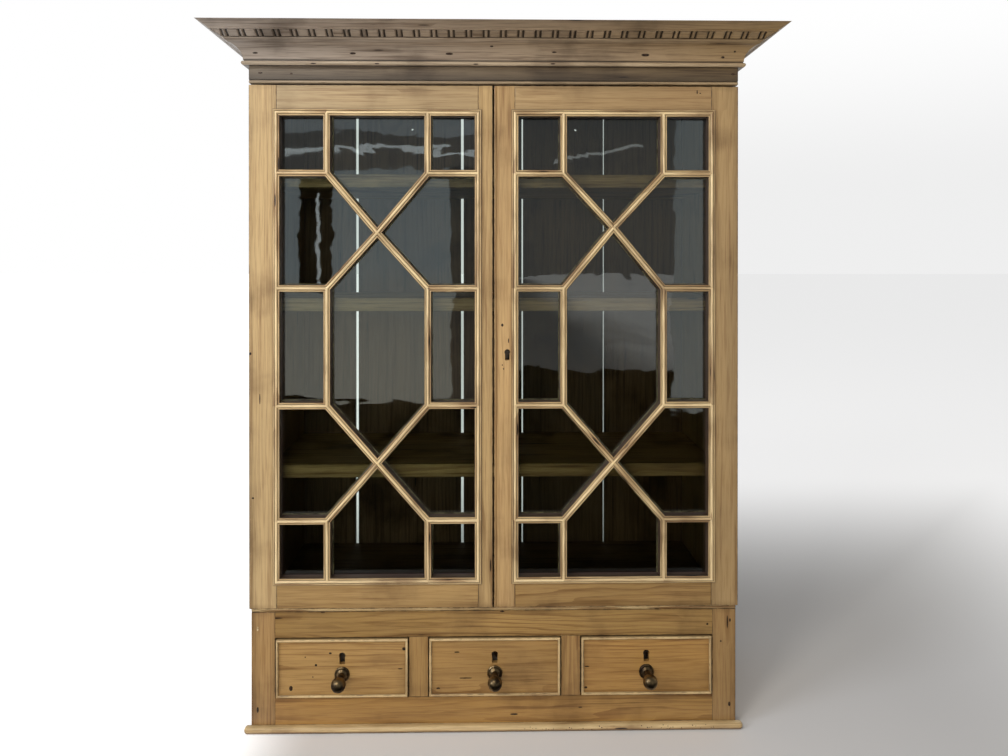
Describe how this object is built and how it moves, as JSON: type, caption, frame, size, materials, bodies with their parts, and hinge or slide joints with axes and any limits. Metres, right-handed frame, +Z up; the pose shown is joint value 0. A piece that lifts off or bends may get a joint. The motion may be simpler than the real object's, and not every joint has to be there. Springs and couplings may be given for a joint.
{
  "type": "glazed wall cupboard",
  "caption": "Pine wall cupboard with astragal-glazed doors on lay-on hinges over a row of small cock-beaded drawers, with a dentil cornice and open shelves inside.",
  "frame": {"origin": "middle of the whole cupboard's footprint, at the height of its foot", "axes": "+Z up, -Y out of the front (doors and drawers), +Y to the wall, +X to the right seen from the front"},
  "size_m": [0.904, 0.345, 1.12],
  "materials": {
    "waxed_pine": "old waxed pine, soft sheen",
    "cornice_pine": "old waxed pine, greyed and darker",
    "inside_pine": "unpolished dark pine",
    "old_glass": "thin old drawn glass, slightly wavy",
    "putty": "hard old putty",
    "aged_brass": "patinated brass",
    "lock_steel": "dull iron plate",
    "hinge_iron": "dark cast butts"
  },
  "bodies": {
    "carcass": {"side_left": "waxed_pine", "side_right": "waxed_pine", "top_board": "inside_pine", "compartment_floor": "inside_pine", "drawer_floor": "inside_pine", "shelf_top": "inside_pine", "shelf_middle": "inside_pine", "shelf_lower": "inside_pine", "back_boards": "inside_pine", "face_stile_left": "waxed_pine", "face_stile_right": "waxed_pine", "upper_rail": "waxed_pine", "lower_rail": "waxed_pine", "muntin_left": "waxed_pine", "muntin_right": "waxed_pine", "drawer_guides": "inside_pine", "drawer_kickers": "inside_pine", "frieze": "cornice_pine", "cornice": "cornice_pine", "dentils": "cornice_pine", "base_moulding": "waxed_pine", "glue_blocks": "inside_pine", "hinge_leaves": "hinge_iron"},
    "left_door": {"left_door_outer_stile": "waxed_pine", "left_door_meeting_stile": "waxed_pine", "left_door_top_rail": "waxed_pine", "left_door_bottom_rail": "waxed_pine", "left_door_astragals": "waxed_pine", "left_door_panes": "old_glass", "left_door_putty": "putty", "left_door_hinge_leaves": "hinge_iron", "left_door_bolt_plate": "aged_brass"},
    "right_door": {"right_door_outer_stile": "waxed_pine", "right_door_meeting_stile": "waxed_pine", "right_door_top_rail": "waxed_pine", "right_door_bottom_rail": "waxed_pine", "right_door_astragals": "waxed_pine", "right_door_panes": "old_glass", "right_door_putty": "putty", "right_door_hinge_leaves": "hinge_iron", "door_lock_case": "lock_steel"},
    "door_lock_bolt": {"door_lock_bolt": "lock_steel"},
    "left_door_bolt": {"left_door_bolt": "aged_brass"},
    "drawer_left": {"drawer_left_front": "waxed_pine", "drawer_left_box": "inside_pine", "drawer_left_knob": "aged_brass", "drawer_left_lock": "lock_steel"},
    "drawer_left_bolt": {"drawer_left_bolt": "lock_steel"},
    "drawer_centre": {"drawer_centre_front": "waxed_pine", "drawer_centre_box": "inside_pine", "drawer_centre_knob": "aged_brass", "drawer_centre_lock": "lock_steel"},
    "drawer_centre_bolt": {"drawer_centre_bolt": "lock_steel"},
    "drawer_right": {"drawer_right_front": "waxed_pine", "drawer_right_box": "inside_pine", "drawer_right_knob": "aged_brass", "drawer_right_lock": "lock_steel"},
    "drawer_right_bolt": {"drawer_right_bolt": "lock_steel"}
  },
  "joints": [
    {"name": "left_door_hinge", "type": "hinge", "parent": "carcass", "child": "left_door", "pos_m": [-0.3946, -0.085, 0.6175], "axis": [0, 0, -1], "range_deg": [0, 170]},
    {"name": "right_door_hinge", "type": "hinge", "parent": "carcass", "child": "right_door", "pos_m": [0.3946, -0.085, 0.6175], "axis": [0, 0, 1], "range_deg": [0, 170]},
    {"name": "door_lock_slide", "type": "slide", "parent": "right_door", "child": "door_lock_bolt", "axis": [-1, 0, 0], "range_m": [0, 0.008]},
    {"name": "left_door_bolt_slide", "type": "slide", "parent": "left_door", "child": "left_door_bolt", "axis": [0, 0, 1], "range_m": [0, 0.01]},
    {"name": "drawer_left_slide", "type": "slide", "parent": "carcass", "child": "drawer_left", "axis": [0, -1, 0], "range_m": [0, 0.18]},
    {"name": "drawer_centre_slide", "type": "slide", "parent": "carcass", "child": "drawer_centre", "axis": [0, -1, 0], "range_m": [0, 0.18]},
    {"name": "drawer_right_slide", "type": "slide", "parent": "carcass", "child": "drawer_right", "axis": [0, -1, 0], "range_m": [0, 0.18]},
    {"name": "drawer_left_bolt_slide", "type": "slide", "parent": "drawer_left", "child": "drawer_left_bolt", "axis": [0, 0, 1], "range_m": [0, 0.008]},
    {"name": "drawer_centre_bolt_slide", "type": "slide", "parent": "drawer_centre", "child": "drawer_centre_bolt", "axis": [0, 0, 1], "range_m": [0, 0.008]},
    {"name": "drawer_right_bolt_slide", "type": "slide", "parent": "drawer_right", "child": "drawer_right_bolt", "axis": [0, 0, 1], "range_m": [0, 0.008]}
  ]
}
